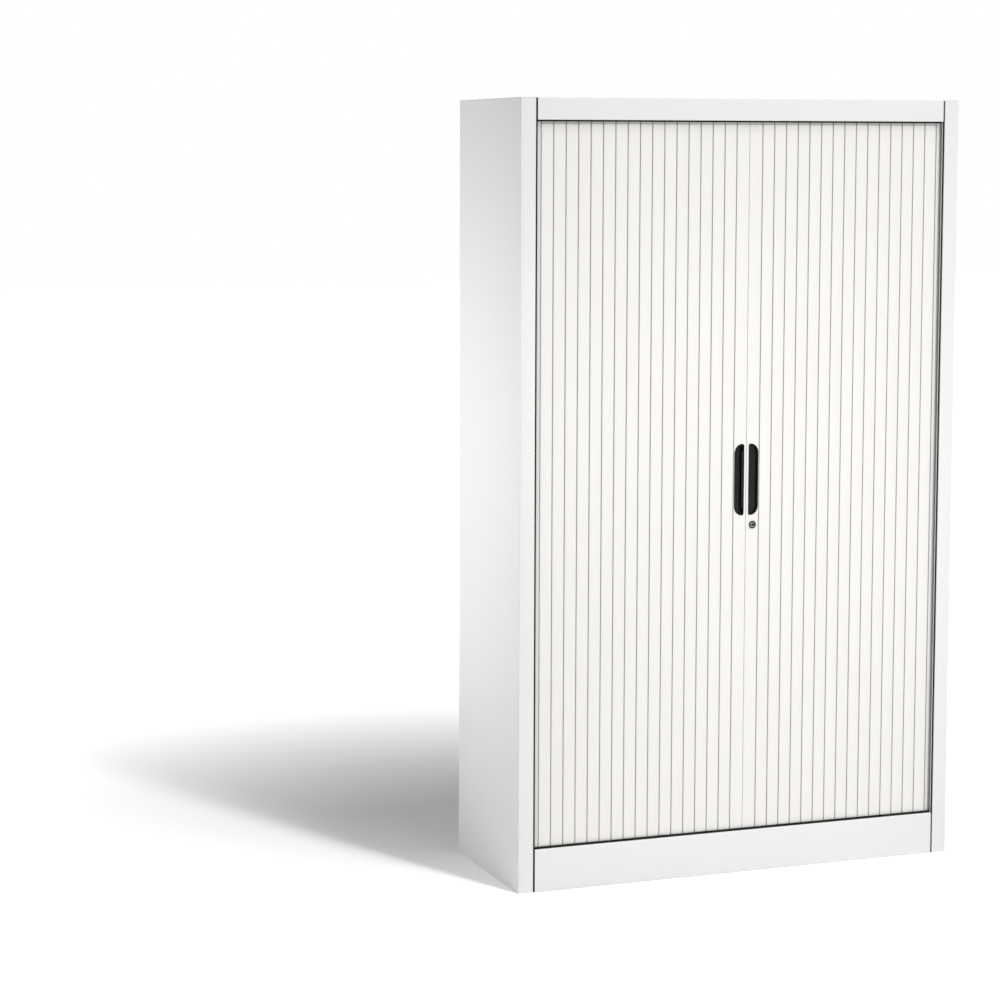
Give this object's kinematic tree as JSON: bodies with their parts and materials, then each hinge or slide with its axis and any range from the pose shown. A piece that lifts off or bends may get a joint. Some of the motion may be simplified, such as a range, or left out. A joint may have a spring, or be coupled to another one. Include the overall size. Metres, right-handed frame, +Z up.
{
  "type": "tambour door cabinet",
  "caption": "Tall steel storage cabinet with two sideways-sliding tambour doors of vertical slats, finger pulls, a cam lock and shelves inside.",
  "frame": {"origin": "on the floor under the middle of the cabinet's box", "axes": "+Z up, -Y out of the front, +X to the right of someone facing the doors"},
  "size_m": [1.2, 0.42, 1.95],
  "materials": {
    "body_enamel": "white powder coat, fine texture, satin",
    "slat_plastic": "extruded white plastic, slightly warm",
    "black_plastic": "moulded black plastic, satin",
    "lock_metal": "nickel-plated zinc, worn satin",
    "zinc_steel": "zinc-plated steel"
  },
  "bodies": {
    "root": {"left_side_panel": "body_enamel", "right_side_panel": "body_enamel", "top_panel": "body_enamel", "plinth": "body_enamel", "floor_panel": "body_enamel", "ceiling_panel": "body_enamel", "back_panel": "body_enamel", "inner_back_panel": "body_enamel", "left_inner_wall": "body_enamel", "right_inner_wall": "body_enamel", "shelf_1": "body_enamel", "shelf_2": "body_enamel", "shelf_3": "body_enamel", "shelf_4": "body_enamel", "upper_track": "black_plastic", "lower_track": "black_plastic", "left_edge_seal": "black_plastic", "right_edge_seal": "black_plastic", "left_curtain_tail": "slat_plastic", "right_curtain_tail": "slat_plastic"},
    "left_lead": {"left_lead_slat": "slat_plastic", "left_handle": "black_plastic", "strike_plate": "zinc_steel"},
    "right_lead": {"right_lead_slat": "slat_plastic", "right_handle": "black_plastic", "lock_case": "lock_metal"},
    "lock": {"lock_cylinder": "lock_metal", "lock_hook": "zinc_steel"},
    "left_link_01": {"left_slat_01": "slat_plastic"},
    "left_link_02": {"left_slat_02": "slat_plastic"},
    "left_link_03": {"left_slat_03": "slat_plastic"},
    "left_link_04": {"left_slat_04": "slat_plastic"},
    "left_link_05": {"left_slat_05": "slat_plastic"},
    "left_link_06": {"left_slat_06": "slat_plastic"},
    "left_link_07": {"left_slat_07": "slat_plastic"},
    "left_link_08": {"left_slat_08": "slat_plastic"},
    "left_link_09": {"left_slat_09": "slat_plastic"},
    "left_link_10": {"left_slat_10": "slat_plastic"},
    "left_link_11": {"left_slat_11": "slat_plastic"},
    "left_link_12": {"left_slat_12": "slat_plastic"},
    "left_link_13": {"left_slat_13": "slat_plastic"},
    "left_link_14": {"left_slat_14": "slat_plastic"},
    "left_link_15": {"left_slat_15": "slat_plastic"},
    "left_link_16": {"left_slat_16": "slat_plastic"},
    "right_link_01": {"right_slat_01": "slat_plastic"},
    "right_link_02": {"right_slat_02": "slat_plastic"},
    "right_link_03": {"right_slat_03": "slat_plastic"},
    "right_link_04": {"right_slat_04": "slat_plastic"},
    "right_link_05": {"right_slat_05": "slat_plastic"},
    "right_link_06": {"right_slat_06": "slat_plastic"},
    "right_link_07": {"right_slat_07": "slat_plastic"},
    "right_link_08": {"right_slat_08": "slat_plastic"},
    "right_link_09": {"right_slat_09": "slat_plastic"},
    "right_link_10": {"right_slat_10": "slat_plastic"},
    "right_link_11": {"right_slat_11": "slat_plastic"},
    "right_link_12": {"right_slat_12": "slat_plastic"},
    "right_link_13": {"right_slat_13": "slat_plastic"},
    "right_link_14": {"right_slat_14": "slat_plastic"},
    "right_link_15": {"right_slat_15": "slat_plastic"}
  },
  "joints": [
    {"name": "left_shutter_slide", "type": "slide", "parent": "root", "child": "left_lead", "axis": [-1, 0, 0], "range_m": [0, 0.518]},
    {"name": "right_shutter_slide", "type": "slide", "parent": "root", "child": "right_lead", "axis": [1, 0, 0], "range_m": [0, 0.485]},
    {"name": "lock_turn", "type": "hinge", "parent": "right_lead", "child": "lock", "pos_m": [0.03485, -0.191, 0.886], "axis": [0, 1, 0], "range_deg": [0, 90]},
    {"name": "left_link_01_slide", "type": "slide", "parent": "root", "child": "left_link_01", "axis": [-1, 0, 0], "range_m": [0, 0.54215], "deforming": ["left_slat_01"]},
    {"name": "left_link_02_slide", "type": "slide", "parent": "root", "child": "left_link_02", "axis": [-1, 0, 0], "range_m": [0, 0.50944], "deforming": ["left_slat_02"]},
    {"name": "left_link_03_slide", "type": "slide", "parent": "root", "child": "left_link_03", "axis": [-1, 0, 0], "range_m": [0, 0.47674], "deforming": ["left_slat_03"]},
    {"name": "left_link_04_slide", "type": "slide", "parent": "root", "child": "left_link_04", "axis": [-1, 0, 0], "range_m": [0, 0.44402], "deforming": ["left_slat_04"]},
    {"name": "left_link_05_slide", "type": "slide", "parent": "root", "child": "left_link_05", "axis": [-1, 0, 0], "range_m": [0, 0.41132], "deforming": ["left_slat_05"]},
    {"name": "left_link_06_slide", "type": "slide", "parent": "root", "child": "left_link_06", "axis": [-1, 0, 0], "range_m": [0, 0.37861], "deforming": ["left_slat_06"]},
    {"name": "left_link_07_slide", "type": "slide", "parent": "root", "child": "left_link_07", "axis": [-1, 0, 0], "range_m": [0, 0.3459], "deforming": ["left_slat_07"]},
    {"name": "left_link_08_slide", "type": "slide", "parent": "root", "child": "left_link_08", "axis": [-1, 0, 0], "range_m": [0, 0.31319], "deforming": ["left_slat_08"]},
    {"name": "left_link_09_slide", "type": "slide", "parent": "root", "child": "left_link_09", "axis": [-1, 0, 0], "range_m": [0, 0.28048], "deforming": ["left_slat_09"]},
    {"name": "left_link_10_slide", "type": "slide", "parent": "root", "child": "left_link_10", "axis": [-1, 0, 0], "range_m": [0, 0.24777], "deforming": ["left_slat_10"]},
    {"name": "left_link_11_slide", "type": "slide", "parent": "root", "child": "left_link_11", "axis": [-1, 0, 0], "range_m": [0, 0.21506], "deforming": ["left_slat_11"]},
    {"name": "left_link_12_slide", "type": "slide", "parent": "root", "child": "left_link_12", "axis": [-1, 0, 0], "range_m": [0, 0.18235], "deforming": ["left_slat_12"]},
    {"name": "left_link_13_slide", "type": "slide", "parent": "root", "child": "left_link_13", "axis": [-1, 0, 0], "range_m": [0, 0.14964], "deforming": ["left_slat_13"]},
    {"name": "left_link_14_slide", "type": "slide", "parent": "root", "child": "left_link_14", "axis": [-1, 0, 0], "range_m": [0, 0.11693], "deforming": ["left_slat_14"]},
    {"name": "left_link_15_slide", "type": "slide", "parent": "root", "child": "left_link_15", "axis": [-1, 0, 0], "range_m": [0, 0.08422], "deforming": ["left_slat_15"]},
    {"name": "left_link_16_slide", "type": "slide", "parent": "root", "child": "left_link_16", "axis": [-1, 0, 0], "range_m": [0, 0.05151], "deforming": ["left_slat_16"]},
    {"name": "right_link_01_slide", "type": "slide", "parent": "root", "child": "right_link_01", "axis": [1, 0, 0], "range_m": [0, 0.50945], "deforming": ["right_slat_01"]},
    {"name": "right_link_02_slide", "type": "slide", "parent": "root", "child": "right_link_02", "axis": [1, 0, 0], "range_m": [0, 0.47674], "deforming": ["right_slat_02"]},
    {"name": "right_link_03_slide", "type": "slide", "parent": "root", "child": "right_link_03", "axis": [1, 0, 0], "range_m": [0, 0.44402], "deforming": ["right_slat_03"]},
    {"name": "right_link_04_slide", "type": "slide", "parent": "root", "child": "right_link_04", "axis": [1, 0, 0], "range_m": [0, 0.41132], "deforming": ["right_slat_04"]},
    {"name": "right_link_05_slide", "type": "slide", "parent": "root", "child": "right_link_05", "axis": [1, 0, 0], "range_m": [0, 0.37861], "deforming": ["right_slat_05"]},
    {"name": "right_link_06_slide", "type": "slide", "parent": "root", "child": "right_link_06", "axis": [1, 0, 0], "range_m": [0, 0.3459], "deforming": ["right_slat_06"]},
    {"name": "right_link_07_slide", "type": "slide", "parent": "root", "child": "right_link_07", "axis": [1, 0, 0], "range_m": [0, 0.31319], "deforming": ["right_slat_07"]},
    {"name": "right_link_08_slide", "type": "slide", "parent": "root", "child": "right_link_08", "axis": [1, 0, 0], "range_m": [0, 0.28048], "deforming": ["right_slat_08"]},
    {"name": "right_link_09_slide", "type": "slide", "parent": "root", "child": "right_link_09", "axis": [1, 0, 0], "range_m": [0, 0.24777], "deforming": ["right_slat_09"]},
    {"name": "right_link_10_slide", "type": "slide", "parent": "root", "child": "right_link_10", "axis": [1, 0, 0], "range_m": [0, 0.21506], "deforming": ["right_slat_10"]},
    {"name": "right_link_11_slide", "type": "slide", "parent": "root", "child": "right_link_11", "axis": [1, 0, 0], "range_m": [0, 0.18235], "deforming": ["right_slat_11"]},
    {"name": "right_link_12_slide", "type": "slide", "parent": "root", "child": "right_link_12", "axis": [1, 0, 0], "range_m": [0, 0.14964], "deforming": ["right_slat_12"]},
    {"name": "right_link_13_slide", "type": "slide", "parent": "root", "child": "right_link_13", "axis": [1, 0, 0], "range_m": [0, 0.11693], "deforming": ["right_slat_13"]},
    {"name": "right_link_14_slide", "type": "slide", "parent": "root", "child": "right_link_14", "axis": [1, 0, 0], "range_m": [0, 0.08422], "deforming": ["right_slat_14"]},
    {"name": "right_link_15_slide", "type": "slide", "parent": "root", "child": "right_link_15", "axis": [1, 0, 0], "range_m": [0, 0.05151], "deforming": ["right_slat_15"]}
  ],
  "couplings": [
    {"joint": "left_link_01_slide", "follows": "left_shutter_slide", "ratio": 1.0428},
    {"joint": "left_link_02_slide", "follows": "left_shutter_slide", "ratio": 0.97962},
    {"joint": "left_link_03_slide", "follows": "left_shutter_slide", "ratio": 0.91648},
    {"joint": "left_link_04_slide", "follows": "left_shutter_slide", "ratio": 0.85333},
    {"joint": "left_link_05_slide", "follows": "left_shutter_slide", "ratio": 0.79019},
    {"joint": "left_link_06_slide", "follows": "left_shutter_slide", "ratio": 0.72704},
    {"joint": "left_link_07_slide", "follows": "left_shutter_slide", "ratio": 0.66389},
    {"joint": "left_link_08_slide", "follows": "left_shutter_slide", "ratio": 0.60075},
    {"joint": "left_link_09_slide", "follows": "left_shutter_slide", "ratio": 0.5376},
    {"joint": "left_link_10_slide", "follows": "left_shutter_slide", "ratio": 0.47446},
    {"joint": "left_link_11_slide", "follows": "left_shutter_slide", "ratio": 0.41131},
    {"joint": "left_link_12_slide", "follows": "left_shutter_slide", "ratio": 0.34816},
    {"joint": "left_link_13_slide", "follows": "left_shutter_slide", "ratio": 0.28502},
    {"joint": "left_link_14_slide", "follows": "left_shutter_slide", "ratio": 0.22187},
    {"joint": "left_link_15_slide", "follows": "left_shutter_slide", "ratio": 0.15872},
    {"joint": "left_link_16_slide", "follows": "left_shutter_slide", "ratio": 0.09558},
    {"joint": "right_link_01_slide", "follows": "right_shutter_slide", "ratio": 1.0463},
    {"joint": "right_link_02_slide", "follows": "right_shutter_slide", "ratio": 0.97884},
    {"joint": "right_link_03_slide", "follows": "right_shutter_slide", "ratio": 0.91139},
    {"joint": "right_link_04_slide", "follows": "right_shutter_slide", "ratio": 0.84395},
    {"joint": "right_link_05_slide", "follows": "right_shutter_slide", "ratio": 0.77651},
    {"joint": "right_link_06_slide", "follows": "right_shutter_slide", "ratio": 0.70907},
    {"joint": "right_link_07_slide", "follows": "right_shutter_slide", "ratio": 0.64162},
    {"joint": "right_link_08_slide", "follows": "right_shutter_slide", "ratio": 0.57418},
    {"joint": "right_link_09_slide", "follows": "right_shutter_slide", "ratio": 0.50674},
    {"joint": "right_link_10_slide", "follows": "right_shutter_slide", "ratio": 0.43929},
    {"joint": "right_link_11_slide", "follows": "right_shutter_slide", "ratio": 0.37185},
    {"joint": "right_link_12_slide", "follows": "right_shutter_slide", "ratio": 0.30441},
    {"joint": "right_link_13_slide", "follows": "right_shutter_slide", "ratio": 0.23697},
    {"joint": "right_link_14_slide", "follows": "right_shutter_slide", "ratio": 0.16952},
    {"joint": "right_link_15_slide", "follows": "right_shutter_slide", "ratio": 0.10208}
  ]
}
